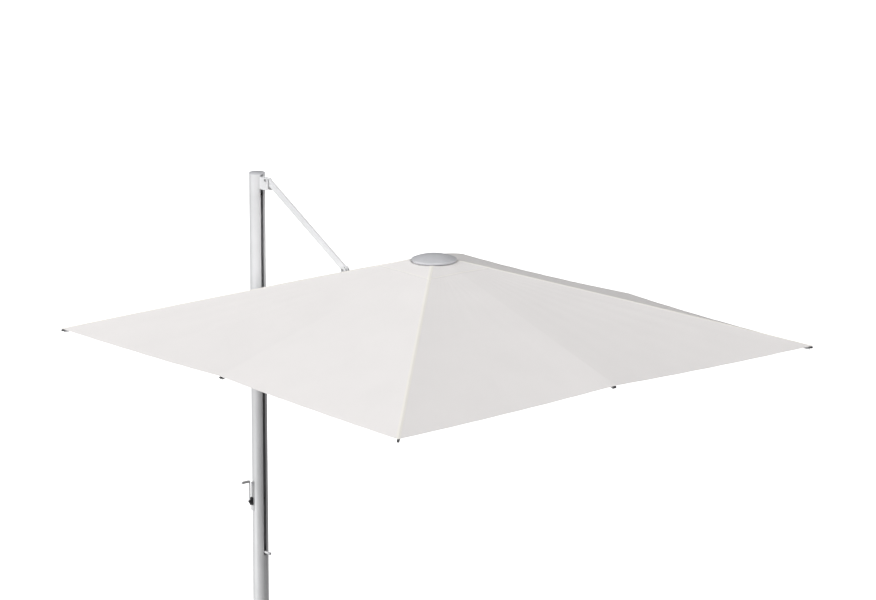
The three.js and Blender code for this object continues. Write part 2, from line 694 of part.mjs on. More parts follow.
// Ribs by name: their direction about the hub and their kind.
const RIBS = [
  { name: 'front', turn: 0, rib: MIDDLE_RIB },
  { name: 'front_left', turn: 45, rib: CORNER_RIB },
  { name: 'left', turn: 90, rib: MIDDLE_RIB },
  { name: 'back_left', turn: 135, rib: CORNER_RIB },
  { name: 'back', turn: 180, rib: MIDDLE_RIB },
  { name: 'back_right', turn: 225, rib: CORNER_RIB },
  { name: 'right', turn: 270, rib: MIDDLE_RIB },
  { name: 'front_right', turn: 315, rib: CORNER_RIB },
];
const isTwin = ({ turn }) => turn === 180;

const turnAbout = (geometry, degrees) => geometry.rotateZ(THREE.MathUtils.degToRad(degrees));

// Two cheeks with a hole, hung from the hub plate round each rib's eye.
function hubCheeks(entry) {
  const offset = isTwin(entry) ? 20 : RIB_HALF_WIDTH + 0.6;
  const thick = 4.5;
  const top = PLATE_TOP - 8;
  const outline = [[86, PIVOT_Z - 12], [114, PIVOT_Z - 12], [114, top], [86, top]];
  const cheeks = [
    plateY(outline, [offset, offset + thick]),
    plateY(outline, [-offset - thick, -offset]),
  ];
  const cheekPair = cheeks.map((cheek) => (
    isTwin(entry) ? cut(cheek, pinY(6.3, [-80, 80], [PIVOT_RADIUS, PIVOT_Z])) : cheek
  ));
  const parts = isTwin(entry) ? cheekPair : [...cheekPair, pinY(4, [-offset - 1, offset + 1], [PIVOT_RADIUS, PIVOT_Z])];
  return parts.map((part) => turnAbout(part, entry.turn));
}

function hubBody() {
  const core = turned([
    [0, HUB_BOTTOM], [29.6, HUB_BOTTOM], [29.6, PIVOT_Z], [60, PLATE_TOP - 10],
    [122, PLATE_TOP - 10], [122, PLATE_TOP], [0, PLATE_TOP],
  ]);
  const body = join(
    core,
    pinY(25, [-29.6, 29.6], [0, HUB_PIVOT[1]], 20),
    ...RIBS.flatMap(hubCheeks),
  );
  return cut(
    body,
    pinY(8.6, [-60, 60], [0, HUB_PIVOT[1]]),
    pinZ(POST_RADIUS + PLAY, [HUB_BOTTOM - 8, HUB_BOTTOM + 26], [0, 0], 32),
  );
}

function hubPost() {
  const bore = POST_RADIUS - 3;
  return turned([
    [bore, POST_BOTTOM], [POST_RADIUS, POST_BOTTOM], [POST_RADIUS, HUB_BOTTOM + 25.5],
    [bore, HUB_BOTTOM + 25.5], [bore, POST_BOTTOM],
  ], 32);
}

// A shallow dome on a thick round edge that is drawn in at the bottom.
function hubDisc() {
  const low = DISC_SEAT + 4;
  const high = low + DISC_EDGE;
  const domeRadius = DISC_RADIUS - 4;
  const dome = [1, 0.85, 0.65, 0.4, 0].map((share) => [
    share * domeRadius, high + DISC_DOME * (1 - share * share),
  ]);
  return turned([
    [0, DISC_SEAT], [DISC_RADIUS - 18, DISC_SEAT], [DISC_RADIUS - 3, low],
    [DISC_RADIUS, low + DISC_EDGE / 2], ...dome,
  ], 40);
}

// The runner's cheeks for each stretcher: low ones for middle ribs, raised ones for corner ribs.
function runnerCheeks(entry) {
  const [radius, z] = runnerPivotOf(entry.rib);
  const offset = isTwin(entry) ? 20 : 4.8;
  const thick = 4;
  const low = RUNNER_BOTTOM + 10;
  const outline = [
    [26, low], [radius - 14, low], [radius + 9, z - 9], [radius + 9, z + 9],
    [radius - 9, z + 9], [radius - 22, low + 20], [26, low + 20],
  ];
  const cheeks = [
    plateY(outline, [offset, offset + thick]),
    plateY(outline, [-offset - thick, -offset]),
  ];
  const cheekPair = cheeks.map((cheek) => (
    isTwin(entry) ? cut(cheek, pinY(5.4, [-80, 80], [radius, z])) : cheek
  ));
  const parts = isTwin(entry) ? cheekPair : [...cheekPair, pinY(3, [-offset - 1, offset + 1], [radius, z], 10)];
  return parts.map((part) => turnAbout(part, entry.turn));
}

function runner() {
  const inner = POST_RADIUS + 1;
  const sleeve = turned([
    [inner, RUNNER_BOTTOM], [30, RUNNER_BOTTOM], [30, RUNNER_TOP], [inner, RUNNER_TOP], [inner, RUNNER_BOTTOM],
  ]);
  const bore = pinZ(inner, [RUNNER_BOTTOM - 10, RUNNER_TOP + 10], [0, 0], 32);
  return cut(join(sleeve, ...RIBS.flatMap(runnerCheeks)), bore);
}

// The oversize holes of the corner stretchers take up the small difference between the two
// rib lengths half-way through the fold.
const MIDDLE_RUNNER_HOLE = 3.8;
const CORNER_RUNNER_HOLE = 8.4;

function buildCanopyFrame(hub) {
  mesh('hub', hubBody(), CAST, hub);
  mesh('hub_post', hubPost(), ANODISED, hub);
  mesh('hub_disc', hubDisc(), GREY_CAP, hub);
  mesh('runner', runner(), CAST, hub);
  for (const entry of RIBS) {
    const turn = new THREE.Group();
    turn.rotation.z = THREE.MathUtils.degToRad(entry.turn);
    hub.add(turn);
    if (isTwin(entry)) {
      mesh('rib_back_pair', twinRib(), ANODISED, turn);
      mesh('stretcher_back_pair', twinStretcher(), ANODISED, turn);
    } else {
      const hole = entry.rib === CORNER_RIB ? CORNER_RUNNER_HOLE : MIDDLE_RUNNER_HOLE;
      mesh(`rib_${entry.name}`, singleRib(entry.rib), ANODISED, turn);
      mesh(`stretcher_${entry.name}`, stretcherBar(entry.rib, [-4, 4], hole), ANODISED, turn);
    }
  }
}

// ---------- canopy fabric ----------

// A thin closed sheet over flat outlines of [x, y] points, draped to the fabric's height.
// Outlines that share an edge become one sheet.
function drapedSheet(outlines, turn) {
  const points = [];
  const indexOf = (x, y) => {
    const known = points.findIndex(([px, py]) => Math.hypot(px - x, py - y) < 1e-6);
    return known >= 0 ? known : points.push([x, y]) - 1;
  };
  const faces = outlines.flatMap((outline) => {
    const contour = outline.map(([x, y]) => new THREE.Vector2(x, y));
    if (THREE.ShapeUtils.isClockWise(contour)) contour.reverse();
    return THREE.ShapeUtils.triangulateShape(contour, [])
      .map((face) => face.map((corner) => indexOf(contour[corner].x, contour[corner].y)));
  });
  const edges = new Set(faces.flatMap(([a, b, c]) => [`${a}>${b}`, `${b}>${c}`, `${c}>${a}`]));
  const spin = THREE.MathUtils.degToRad(turn);
  const heights = points.map(([x, y]) => fabricHeight(
    x * Math.cos(spin) - y * Math.sin(spin), x * Math.sin(spin) + y * Math.cos(spin),
  ));
  const top = points.flatMap(([x, y], i) => [x, y, heights[i]]);
  const bottom = points.flatMap(([x, y], i) => [x, y, heights[i] - FABRIC]);
  const below = points.length;
  const indices = faces.flatMap(([a, b, c]) => [a, b, c, below + a, below + c, below + b]);
  for (const [a, b, c] of faces) {
    for (const [from, to] of [[a, b], [b, c], [c, a]]) {
      if (!edges.has(`${to}>${from}`)) indices.push(to, from, below + from, to, below + from, below + to);
    }
  }
  const geometry = new THREE.BufferGeometry();
  geometry.setAttribute('position', new THREE.Float32BufferAttribute([...top, ...bottom], 3));
  geometry.setIndex(indices);
  geometry.computeVertexNormals();
  return geometry;
}

const mirrored = (outline) => outline.map(([x, y]) => [x, -y]);

// Panels meet half-way along each half side of the hem; each lies over its own rib.
const splitAngle = Math.atan2(PANEL_SPLIT, CANOPY_HALF);
function splitPoint(radius, angle) {
  return [
    radius * Math.cos(angle) + PANEL_GAP * Math.sin(angle),
    radius * Math.sin(angle) - PANEL_GAP * Math.cos(angle),
  ];
}

function middlePanel(slit) {
  const outer = Math.hypot(CANOPY_HALF, PANEL_SPLIT);
  const inner = CROWN_RADIUS + PANEL_GAP;
  const side = [splitPoint(outer, splitAngle), splitPoint(inner, splitAngle)];
  const seam = slit
    ? [[inner, 0], [SLIT_INNER_RADIUS, 0], [SLIT_INNER_RADIUS, SLIT_HALF], [CANOPY_HALF, SLIT_HALF]]
    : [[inner, 0], [CANOPY_HALF, 0]];
  const half = [...seam, ...side];
  return [half, mirrored(half)];
}

function cornerPanel() {
  const angle = Math.PI / 4 - splitAngle;
  const outer = Math.hypot(CANOPY_HALF, PANEL_SPLIT);
  const inner = CROWN_RADIUS + PANEL_GAP;
  const half = [
    [inner, 0], [CORNER_REACH, 0], splitPoint(outer, angle), splitPoint(inner, angle),
  ];
  return [half, mirrored(half)];
}

function buildCanopy(hub) {
  const radius = CROWN_RADIUS - 7;
  mesh('canopy_crown', turned([
    [0, FABRIC_SEAT], [radius, FABRIC_SEAT], [radius, FABRIC_SEAT + FABRIC], [0, FABRIC_SEAT + FABRIC],
  ]), CLOTH, hub);
  for (const entry of RIBS) {
    const turn = new THREE.Group();
    turn.rotation.z = THREE.MathUtils.degToRad(entry.turn);
    hub.add(turn);
    const outlines = entry.rib === CORNER_RIB ? cornerPanel() : middlePanel(isTwin(entry));
    mesh(`canopy_${entry.name}`, drapedSheet(outlines, entry.turn), CLOTH, turn);
  }
}

buildBase();
buildMast();
buildWinch();
buildBoom();
const hubGroup = new THREE.Group();
hubGroup.position.x = CANOPY_CENTRE_X;
group.add(hubGroup);
buildCanopyFrame(hubGroup);
buildCanopy(hubGroup);

export default group;
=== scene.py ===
"""Looks for the cantilever parasol: fabric, small parts, materials, light and camera.

Everything is in metres in the row frame: the ground is z = 0, the mast's axis is x = y = 0, and +X
runs towards the middle of the canopy.
"""

import json
import math

import bmesh
import bpy
from mathutils import Matrix, Vector, noise


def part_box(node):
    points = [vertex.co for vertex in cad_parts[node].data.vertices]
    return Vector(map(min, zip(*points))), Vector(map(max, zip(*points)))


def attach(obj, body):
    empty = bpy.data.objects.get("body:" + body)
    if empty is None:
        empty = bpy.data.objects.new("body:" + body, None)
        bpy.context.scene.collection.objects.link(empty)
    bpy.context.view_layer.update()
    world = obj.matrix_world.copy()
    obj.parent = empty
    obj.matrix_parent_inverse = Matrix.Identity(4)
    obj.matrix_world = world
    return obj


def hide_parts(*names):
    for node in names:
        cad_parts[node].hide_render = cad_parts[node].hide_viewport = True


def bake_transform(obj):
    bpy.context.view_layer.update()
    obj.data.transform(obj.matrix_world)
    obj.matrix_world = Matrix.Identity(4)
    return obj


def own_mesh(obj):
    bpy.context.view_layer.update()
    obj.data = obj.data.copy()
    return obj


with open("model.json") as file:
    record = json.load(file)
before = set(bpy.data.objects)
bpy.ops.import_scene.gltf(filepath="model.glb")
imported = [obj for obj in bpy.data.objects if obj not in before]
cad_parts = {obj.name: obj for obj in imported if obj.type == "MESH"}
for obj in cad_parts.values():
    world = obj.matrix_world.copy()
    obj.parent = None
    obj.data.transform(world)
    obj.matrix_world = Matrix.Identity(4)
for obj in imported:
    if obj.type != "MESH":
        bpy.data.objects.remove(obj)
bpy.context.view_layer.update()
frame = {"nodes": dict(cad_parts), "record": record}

# ---------- sizes taken from the frame ----------

FRONT_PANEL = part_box("canopy_front")
CORNER_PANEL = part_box("canopy_front_left")
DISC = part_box("hub_disc")
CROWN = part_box("canopy_crown")
RIB_PIVOT_Z = 2.750

CAD_FABRIC = 0.002
CENTRE_X = (DISC[0].x + DISC[1].x) / 2
HALF = FRONT_PANEL[1].x - CENTRE_X
MIDDLE_TIP_Z = 2.375
CORNER_TIP_Z = CORNER_PANEL[0].z + CAD_FABRIC
APEX_Z = 2.824
MIDDLE_FALL = (APEX_Z - MIDDLE_TIP_Z) / HALF
CORNER_FALL = (MIDDLE_TIP_Z - CORNER_TIP_Z) / HALF
ROOT2 = math.sqrt(2)

# ---------- fabric ----------

CLOTH_THICKNESS = 0.0012
SEAT_TOP = CROWN[1].z + 0.0017
SEAT_SOFTNESS = 0.0012
SEAT_RADIUS = 0.127
SHOULDER_RISE = 0.6
COLLAR_INNER = 0.075
COLLAR_OUTER = 0.150
COLLAR_BEND_START = 0.100
COLLAR_BEND_END = 0.150
SPLIT_SHARE = 0.5
PANEL_SAG = 0.009
RIDGE_BOW = 0.006
MIDDLE_BOW = 0.003
HEM_DRAW = 0.004
RIPPLE_HEIGHT = 0.0005
RIPPLES = 3
WAVER_HEIGHT = 0.0012
WAVER_SCALE = 2.3
PATCH_HALF = 0.224
PATCH_RISE = 0.0012
PATCH_BAND = 0.006
PATCH_SHADOW = 0.003
HEM_WIDTH = 0.022
STITCH_HALF = 0.0012
STITCH_DEPTH = 0.0005
SEAM_HALF = 0.0115
MIDDLE_SEAM_HALF = 0.0040
SEAM_RISE = 0.0007
SLIT_HALF = 0.034
SLIT_START = 0.700
SLIT_HEM = 0.010
ROW_STEP = 0.030
CLOTH_CRISP = 18
WING_COLUMNS = 48
MIDDLE_STRIP = 0.0745
CORNER_STRIP = 0.048
BACK_STRIP = 0.0745
MIDDLE_KEEP = 0.115
CORNER_KEEP = 0.030
# The flat length that a sheet is cut to, over the length of its plan: a round figure for the slope.
SLOPE_ALLOWANCE = 1.05

# name, direction about the hub in degrees, is it a corner rib, CAD body
RIBS = [
    ("front", 0, False, "rib_front"),
    ("front_left", 45, True, "rib_front_left"),
    ("left", 90, False, "rib_left"),
    ("back_left", 135, True, "rib_back_left"),
    ("back", 180, False, "rib_back_pair"),
    ("back_right", 225, True, "rib_back_right"),
    ("right", 270, False, "rib_right"),
    ("front_right", 315, True, "rib_front_right"),
]

# ---------- camera and light ----------

CAMERA_PLACE = (16.31185, -12.37785, 7.18632)
CAMERA_YAW = 2.43998
CAMERA_PITCH = 0.23622
CAMERA_ROLL = 0.0024
CAMERA_LENS = 144.64
SENSOR_WIDTH = 36.0
CAMERA_FAR_CLIP = 400
WORLD_STRENGTH = 0.26
# azimuth, elevation, strength and softness; angles in degrees
FRONT_LIGHT = (-8, 37, 1.77, 30)
SIDE_LIGHT = (-102, 17, 2.2, 30)
LOW_FILL_PLACE = (-0.45, -1.25, 0.45)
LOW_FILL_TARGET = (0, 0, 0.7)
LOW_FILL_POWER = 2.2
LOW_FILL_SIZE = 0.8
FLOOR_RADIUS = 90
BACKDROP_RADIUS = 89

# ---------- small parts ----------

TURNED_SIDES = 64
CRISP_ANGLE = 40
ROUND_EDGE_STEPS = 5
SOFT_EDGE = 0.0008
SOFT_EDGE_ANGLE = 35
LIGHTER_NODES = ("strut", "top_bracket")

DISC_DRAWN_IN = 0.018
DISC_EDGE_BULGE = 0.004
DISC_EDGE_TALL = 0.0065
DISC_EDGE_MIDDLE = 0.0105
DISC_EDGE_TURN = 157
DISC_EDGE_STEPS = 12
DISC_DOME_STEPS = 20

HOUSING_BORE = 0.0052
HOUSING_GROOVES = (0.0035, 0.0065)
HOUSING_GROOVE_DEPTH = 0.0007
HOUSING_NOSE = 0.0025

GRIP_BORE = 0.0036
GRIP_STEPS = 40

CRANK_CAP_RADIUS = 0.0095
CRANK_CAP_DEPTH = 0.0095
CRANK_CAP_EDGE = 0.002

LOCK_HEAD_LENGTH = 0.009
LOCK_SHAFT_EDGE = 0.001
LOCK_HEAD_EDGE = 0.003

CAP_LENGTH = 0.030
CAP_WIDTH = 0.0140
CAP_HEIGHT = 0.0125
CAP_EDGE = 0.0040
CAP_BELOW = 0.0115
CAP_PAST_TIP = 0.001
# How far each of the two mast-side ribs is from the middle.
BACK_RIB_OFFSET = 0.057


# ---------- small tools ----------

def link(name, mesh):
    """A new object with this mesh, at the origin of the row frame."""
    obj = bpy.data.objects.new(name, mesh)
    bpy.context.scene.collection.objects.link(obj)
    return obj


def mesh_of(name, points, faces, flat_faces=()):
    """A mesh whose faces are smooth, apart from the ones listed by number."""
    mesh = bpy.data.meshes.new(name)
    mesh.from_pydata([tuple(p) for p in points], [], faces)
    smooth = [True] * len(faces)
    for i in flat_faces:
        smooth[i] = False
    mesh.polygons.foreach_set("use_smooth", smooth)
    mesh.update()
    return mesh


def put(obj, body, material):
    """Gives a new piece its material and the body that it rides on."""
    if not obj.data.materials:
        obj.data.materials.append(material)
    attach(obj, body)
    return obj


AXES = {
    "X": Matrix(((0, 0, 1), (1, 0, 0), (0, 1, 0))),
    "Y": Matrix(((0, 1, 0), (0, 0, 1), (1, 0, 0))),
    "Z": Matrix.Identity(3),
}


def lathe(name, profile, centre, axis):
    """A turned solid: a closed or open profile of (radius, height) points about an axis."""
    turn = AXES[axis]
    sides = TURNED_SIDES
    points, rings = [], []
    for radius, height in profile:
        if radius < 1e-6:
            rings.append([len(points)] * sides)
            points.append(Vector((0, 0, height)))
            continue
        rings.append(list(range(len(points), len(points) + sides)))
        for i in range(sides):
            angle = 2 * math.pi * i / sides
            points.append(Vector((radius * math.cos(angle), radius * math.sin(angle), height)))
    faces = []
    for low, high in zip(rings, rings[1:]):
        for i in range(sides):
            j = (i + 1) % sides
            corners = []
            for k in (low[i], low[j], high[j], high[i]):
                if k not in corners:
                    corners.append(k)
            if len(corners) > 2:
                faces.append(corners)
    place = Vector(centre)
    mesh = mesh_of(name, [place + turn @ p for p in points], faces)
    tidy_normals(mesh)
    return link(name, mesh)


def tidy_normals(mesh):
    """Normals outwards, and edges sharper than CRISP_ANGLE left crisp."""
    bm = bmesh.new()
    bm.from_mesh(mesh)
    bmesh.ops.remove_doubles(bm, verts=bm.verts, dist=1e-6)
    bmesh.ops.recalc_face_normals(bm, faces=bm.faces)
    bm.to_mesh(mesh)
    bm.free()
    mesh.set_sharp_from_angle(angle=math.radians(CRISP_ANGLE))


# ---------- materials ----------

def blank_material(name):
    """A node material with its Principled shader, and helpers to add nodes to it."""
    material = bpy.data.materials.new(name)
    material.use_nodes = True
    tree = material.node_tree
    shader = tree.nodes["Principled BSDF"]
    return material, tree, shader


def node(tree, kind, **values):
    """Adds a node, sets its properties or its inputs by name."""
    made = tree.nodes.new(kind)
    for key, value in values.items():
        if hasattr(made, key):
            setattr(made, key, value)
        else:
            made.inputs[key.replace("_", " ")].default_value = value
    return made


def object_coordinates(tree, scale):
    """The piece's own coordinates, stretched along each axis."""
    where = node(tree, "ShaderNodeTexCoord")
    mapping = node(tree, "ShaderNodeMapping")
    mapping.inputs["Scale"].default_value = scale
    tree.links.new(where.outputs["Object"], mapping.inputs["Vector"])
    return mapping.outputs["Vector"]


def noise_at(tree, vector, scale, detail, roughness):
    """Soft noise at a coordinate, between 0 and 1."""
    made = node(tree, "ShaderNodeTexNoise")
    made.inputs["Scale"].default_value = scale
    made.inputs["Detail"].default_value = detail
    made.inputs["Roughness"].default_value = roughness
    tree.links.new(vector, made.inputs["Vector"])
    return made.outputs["Fac"]


def ramp(tree, factor, stops):
    """A colour ramp; stops are (place, grey or colour)."""
    made = node(tree, "ShaderNodeValToRGB")
    elements = made.color_ramp.elements
    while len(elements) < len(stops):
        elements.new(0.5)
    for element, (place, colour) in zip(elements, stops):
        element.position = place
        rgb = (colour,) * 3 if isinstance(colour, (int, float)) else colour
        element.color = (*rgb, 1)
    tree.links.new(factor, made.inputs["Fac"])
    return made.outputs["Color"]


def bump(tree, shader, height, strength, distance):
    """Turns a height into a fine relief of the shader's surface."""
    made = node(tree, "ShaderNodeBump")
    made.inputs["Strength"].default_value = strength
    made.inputs["Distance"].default_value = distance
    tree.links.new(height, made.inputs["Height"])
    tree.links.new(made.outputs["Normal"], shader.inputs["Normal"])


def shade(colour, share):
    """A colour made darker or lighter by a share."""
    return tuple(channel * share for channel in colour)


def metal(name, colour, roughness, metallic, grain):
    """Metal with a fine drawn grain along one direction, given by the grain's scale."""
    material, tree, shader = blank_material(name)
    fine = noise_at(tree, object_coordinates(tree, grain), 1.0, 4.0, 0.6)
    cloudy = noise_at(tree, object_coordinates(tree, (1, 1, 1)), 6.0, 3.0, 0.55)
    tint = ramp(tree, cloudy, [(0.3, shade(colour, 0.95)), (0.7, shade(colour, 1.03))])
    tree.links.new(tint, shader.inputs["Base Color"])
    rough = ramp(tree, fine, [(0.25, roughness - 0.07), (0.75, roughness + 0.07)])
    tree.links.new(rough, shader.inputs["Roughness"])
    shader.inputs["Metallic"].default_value = metallic
    bump(tree, shader, fine, 0.12, 0.0004)
    return material


def plastic(name, colour, roughness, grain_scale, grain_depth):
    """Moulded plastic with a fine spark-eroded grain."""
    material, tree, shader = blank_material(name)
    where = object_coordinates(tree, (1, 1, 1))
    grain = noise_at(tree, where, grain_scale, 4.0, 0.65)
    cloudy = noise_at(tree, where, 12.0, 3.0, 0.5)
    tint = ramp(tree, cloudy, [(0.3, shade(colour, 0.93)), (0.7, shade(colour, 1.05))])
    tree.links.new(tint, shader.inputs["Base Color"])
    rough = ramp(tree, grain, [(0.3, roughness - 0.06), (0.7, roughness + 0.06)])
    tree.links.new(rough, shader.inputs["Roughness"])
    bump(tree, shader, grain, 0.3, grain_depth)
    return material


def cloth_material(name, colour, sheen):
    """Woven canopy cloth: a plain weave on the piece's own UVs, with slubs and faint shade changes."""
    material, tree, shader = blank_material(name)
    uv = node(tree, "ShaderNodeUVMap", uv_map="UVMap")
    threads = []
    for direction in ("X", "Y"):
        wave = node(tree, "ShaderNodeTexWave", wave_type="BANDS", bands_direction=direction)
        wave.inputs["Scale"].default_value = 240.0
        wave.inputs["Distortion"].default_value = 0.6
        wave.inputs["Detail"].default_value = 1.0
        wave.inputs["Detail Scale"].default_value = 3.0
        tree.links.new(uv.outputs["UV"], wave.inputs["Vector"])
        threads.append(wave.outputs["Fac"])
    weave = node(tree, "ShaderNodeMath", operation="MAXIMUM")
    tree.links.new(threads[0], weave.inputs[0])
    tree.links.new(threads[1], weave.inputs[1])
    slubs = noise_at(tree, uv.outputs["UV"], 90.0, 3.0, 0.6)
    cloudy = noise_at(tree, uv.outputs["UV"], 3.0, 4.0, 0.55)
    base = ramp(tree, cloudy, [(0.3, shade(colour, 0.985)), (0.7, shade(colour, 1.01))])
    darker = ramp(tree, weave.outputs[0], [(0.0, 0.93), (0.6, 1.0)])
    mix = node(tree, "ShaderNodeMix", data_type="RGBA", blend_type="MULTIPLY")
    mix.inputs["Factor"].default_value = 1.0
    tree.links.new(base, mix.inputs["A"])
    tree.links.new(darker, mix.inputs["B"])
    tree.links.new(mix.outputs["Result"], shader.inputs["Base Color"])
    rough = ramp(tree, slubs, [(0.3, 0.82), (0.7, 0.94)])
    tree.links.new(rough, shader.inputs["Roughness"])
    shader.inputs["Sheen Weight"].default_value = sheen
    shader.inputs["Sheen Roughness"].default_value = 0.6
    height = node(tree, "ShaderNodeMath", operation="ADD")
    tree.links.new(weave.outputs[0], height.inputs[0])
    tree.links.new(slubs, height.inputs[1])
    bump(tree, shader, height.outputs[0], 0.25, 0.0003)
    return material


def wire_rope():
    """Strands that wind round the rope, as a slanted wave, with painted shade in the valleys between them."""
    material, tree, shader = blank_material("wire_rope")
    mapping = node(tree, "ShaderNodeMapping")
    mapping.inputs["Rotation"].default_value = (0.6, 0.6, 0)
    where = node(tree, "ShaderNodeTexCoord")
    tree.links.new(where.outputs["Object"], mapping.inputs["Vector"])
    strands = node(tree, "ShaderNodeTexWave", wave_type="BANDS", bands_direction="Z")
    strands.inputs["Scale"].default_value = 160.0
    strands.inputs["Distortion"].default_value = 0.5
    tree.links.new(mapping.outputs["Vector"], strands.inputs["Vector"])
    # Painted shade: the colour goes dark towards the valleys between the strands, where the relief is lowest.
    tint = ramp(tree, strands.outputs["Fac"], [(0.1, (0.12, 0.12, 0.13)), (0.7, (0.42, 0.43, 0.44))])
    tree.links.new(tint, shader.inputs["Base Color"])
    shader.inputs["Metallic"].default_value = 0.8
    rough = ramp(tree, strands.outputs["Fac"], [(0.0, 0.6), (1.0, 0.4)])
    tree.links.new(rough, shader.inputs["Roughness"])
    bump(tree, shader, strands.outputs["Fac"], 0.5, 0.0006)
    return material


def stone_weight():
    """Cast granite: light and dark grains in a grey ground."""
    material, tree, shader = blank_material("cast_weight")
    where = object_coordinates(tree, (1, 1, 1))
    grains = node(tree, "ShaderNodeTexVoronoi", feature="F1")
    grains.inputs["Scale"].default_value = 170.0
    tree.links.new(where, grains.inputs["Vector"])
    specks = ramp(tree, grains.outputs["Color"], [
        (0.25, (0.07, 0.07, 0.075)), (0.45, (0.16, 0.16, 0.165)), (0.8, (0.34, 0.335, 0.33)),
    ])
    cloudy = noise_at(tree, where, 9.0, 4.0, 0.6)
    shadow = ramp(tree, cloudy, [(0.3, 0.86), (0.7, 1.0)])
    mix = node(tree, "ShaderNodeMix", data_type="RGBA", blend_type="MULTIPLY")
    mix.inputs["Factor"].default_value = 1.0
    tree.links.new(specks, mix.inputs["A"])
    tree.links.new(shadow, mix.inputs["B"])
    tree.links.new(mix.outputs["Result"], shader.inputs["Base Color"])
    fine = noise_at(tree, where, 320.0, 4.0, 0.65)
    rough = ramp(tree, fine, [(0.3, 0.62), (0.7, 0.85)])
    tree.links.new(rough, shader.inputs["Roughness"])
    bump(tree, shader, fine, 0.35, 0.0008)
    return material


def powder_coat(name, colour, roughness):
    """Powder-coated metal with the soft dimples of its coat."""
    material, tree, shader = blank_material(name)
    where = object_coordinates(tree, (1, 1, 1))
    dimples = noise_at(tree, where, 420.0, 2.0, 0.5)
    cloudy = noise_at(tree, where, 7.0, 4.0, 0.6)
    tint = ramp(tree, cloudy, [(0.3, shade(colour, 0.88)), (0.7, shade(colour, 1.08))])
    tree.links.new(tint, shader.inputs["Base Color"])
    rough = ramp(tree, dimples, [(0.3, roughness - 0.05), (0.7, roughness + 0.08)])
    tree.links.new(rough, shader.inputs["Roughness"])
    shader.inputs["Coat Weight"].default_value = 0.08
    bump(tree, shader, dimples, 0.25, 0.0005)
    return material


MATERIALS = {
    "anodised": metal("anodised", (0.80, 0.805, 0.815), 0.40, 0.22, (260, 260, 3)),
    "anodised_light": metal("anodised_light", (0.835, 0.84, 0.85), 0.42, 0.10, (260, 260, 3)),
    "bright_steel": metal("bright_steel", (0.62, 0.625, 0.63), 0.28, 0.95, (220, 220, 220)),
    "grey_cap": plastic("grey_cap", (0.56, 0.565, 0.59), 0.42, 700.0, 0.0003),
    "dark_plastic": plastic("dark_plastic", (0.030, 0.030, 0.033), 0.48, 650.0, 0.0004),
    "cap_plastic": plastic("cap_plastic", (0.085, 0.085, 0.09), 0.5, 650.0, 0.0004),
    "light_plastic": plastic("light_plastic", (0.72, 0.72, 0.73), 0.45, 600.0, 0.0003),
    "canopy_cloth": cloth_material("canopy_cloth", (0.86, 0.835, 0.825), 0.06),
    "wire_rope": wire_rope(),
    "coated_steel": powder_coat("coated_steel", (0.085, 0.09, 0.096), 0.5),
    "cast_weight": stone_weight(),
    "casting": powder_coat("casting", (0.20, 0.205, 0.21), 0.55),
}
BINDING = cloth_material("seam_binding", (0.89, 0.865, 0.815), 0.05)
SEAM_SHADOW = cloth_material("seam_shadow", (0.66, 0.64, 0.63), 0.0)


# ---------- CAD nodes that stay ----------

def soften(obj, width):
    """Joins a node's split corners and rounds its hard edges slightly, with modifiers only."""
    mesh = obj.data
    if "custom_normal" in mesh.attributes:
        mesh.attributes.remove(mesh.attributes["custom_normal"])
    mesh.polygons.foreach_set("use_smooth", [True] * len(mesh.polygons))
    weld = obj.modifiers.new("weld", "WELD")
    weld.merge_threshold = 1e-5
    bevel = obj.modifiers.new("soft_edges", "BEVEL")
    bevel.width = width
    bevel.segments = 2
    bevel.limit_method = "ANGLE"
    bevel.angle_limit = math.radians(SOFT_EDGE_ANGLE)
    bevel.use_clamp_overlap = True
    shading = obj.modifiers.new("shading", "WEIGHTED_NORMAL")
    shading.keep_sharp = False
    shading.weight = 50


def dress_cad_nodes():
    """Every CAD node takes the procedural material of its own slot."""
    slot_of = {entry["node"]: entry["material_slot"] for entry in frame["record"]["subparts"]}
    for name, obj in frame["nodes"].items():
        material = MATERIALS["anodised_light" if name in LIGHTER_NODES else slot_of[name]]
        obj.data.materials.clear()
        obj.data.materials.append(material)
        obj.data.polygons.foreach_set("material_index", [0] * len(obj.data.polygons))
        soften(obj, SOFT_EDGE)


# ---------- the canopy's shape ----------

def fabric_height(far, near):
    """Height of the top of the fabric, from its two plan distances to the canopy's middle."""
    if far < 1e-9:
        return SEAT_TOP
    across = min(near / far, 1.0)
    along = far / HALF
    between = 4 * across * (1 - across)
    height = APEX_Z - MIDDLE_FALL * far - CORNER_FALL * near
    height -= PANEL_SAG * between * along ** 1.5
    height += (MIDDLE_BOW + (RIDGE_BOW - MIDDLE_BOW) * across) * 4 * along * (1 - along)
    radius = math.hypot(far, near)
    ceiling = SEAT_TOP + SHOULDER_RISE * max(0.0, radius - SEAT_RADIUS)
    gap = (height - ceiling) / SEAT_SOFTNESS
    if gap > 30:
        height = ceiling
    elif gap > -30:
        height = ceiling - SEAT_SOFTNESS * math.log(1 + math.exp(-gap))
    if SEAT_RADIUS < radius and far < PATCH_HALF:
        height += PATCH_RISE * min(1.0, (radius - SEAT_RADIUS) / 0.01)
    return height


def waver(x, y, far, near):
    """A slow unevenness of the cloth, none at the ribs and none at the crown."""
    across = min(near / far, 1.0)
    between = 4 * across * (1 - across)
    return WAVER_HEIGHT * between * (far / HALF) * noise.noise(Vector((x, y, 0.3)) * WAVER_SCALE)


def ripple(share, far, sign):
    """Shallow waves across a wing. None at its edges."""
    rise = min(share / 0.15, 1.0)
    envelope = rise * rise * (3 - 2 * rise)
    return sign * RIPPLE_HEIGHT * envelope * (far / HALF) * math.sin(2 * math.pi * RIPPLES * share)


